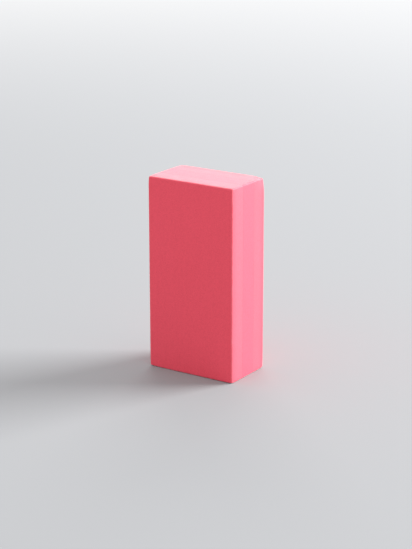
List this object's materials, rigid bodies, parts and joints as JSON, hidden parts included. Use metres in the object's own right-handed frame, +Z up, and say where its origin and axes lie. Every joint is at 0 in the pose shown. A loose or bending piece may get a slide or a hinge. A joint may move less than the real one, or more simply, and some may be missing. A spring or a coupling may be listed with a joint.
{
  "type": "yoga block",
  "caption": "Upright rectangular yoga brick of closed-cell foam, built up from bonded sheets, with lightly rounded edges; a firm support for a hand, foot or back.",
  "frame": {"origin": "middle of the lower small end, on the surface that the brick stands on", "axes": "+Z up along the brick's length, +X to the right across the broad front face, +Y through the thickness from the front broad face to the back one"},
  "size_m": [0.11, 0.065, 0.22],
  "materials": {
    "eva_foam": "matte closed-cell EVA foam, coral pink all through, fine skin of cut cells",
    "bond_adhesive": "thin rubbery contact adhesive, tinted by the foam, seen only as a hairline"
  },
  "bodies": {
    "root": {"front_foam_ply": "eva_foam", "front_bond_film": "bond_adhesive", "middle_foam_ply": "eva_foam", "back_bond_film": "bond_adhesive", "back_foam_ply": "eva_foam"}
  },
  "joints": []
}
